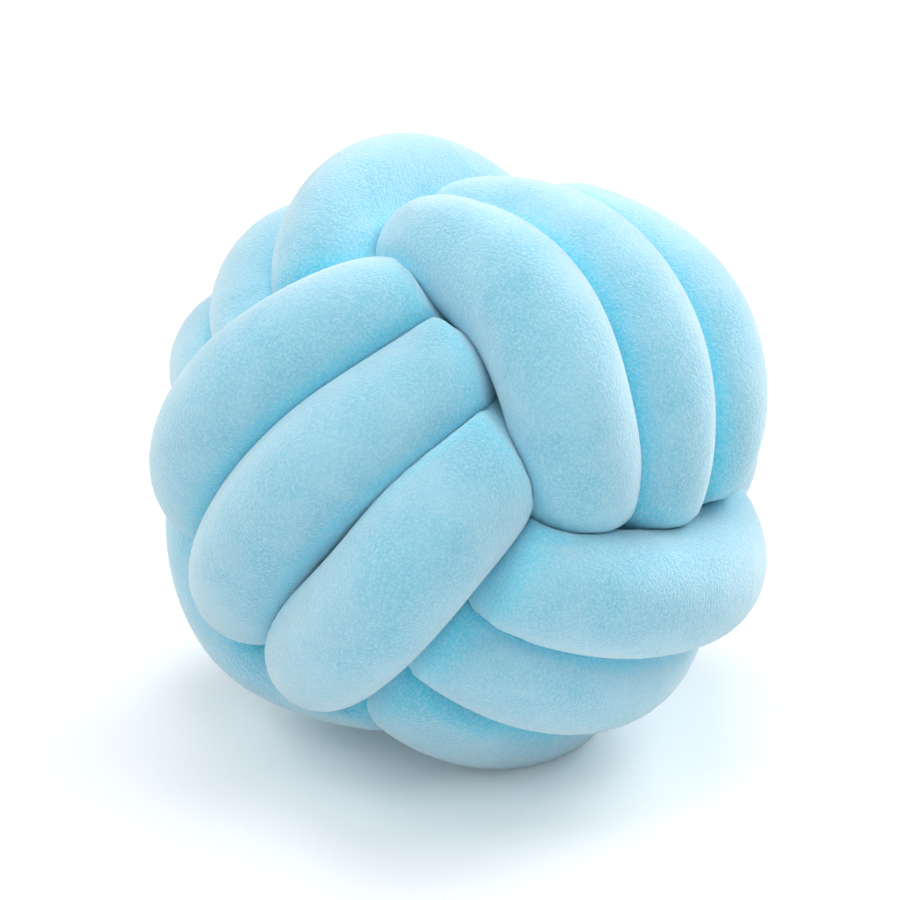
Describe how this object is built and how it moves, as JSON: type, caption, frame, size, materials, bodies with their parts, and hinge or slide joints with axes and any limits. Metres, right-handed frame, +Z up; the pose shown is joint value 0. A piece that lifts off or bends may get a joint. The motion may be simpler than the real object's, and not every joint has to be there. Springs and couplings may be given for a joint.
{
  "type": "braided round pillow",
  "caption": "Round velvet cushion tied from a thick stuffed tube into a ball of crossing three-strand bands, with a small flat spot underneath.",
  "frame": {"origin": "centre of the cushion's footprint box, on the surface that it rests on", "axes": "+Z up, square to the surface it rests on; -Y towards the viewer of its front, +X to that viewer's right"},
  "size_m": [0.2588, 0.2704, 0.2508],
  "materials": {
    "velvet": "short pale blue pile, matte with a soft sheen"
  },
  "bodies": {
    "root": {"knotted_tube": "velvet"}
  },
  "joints": []
}
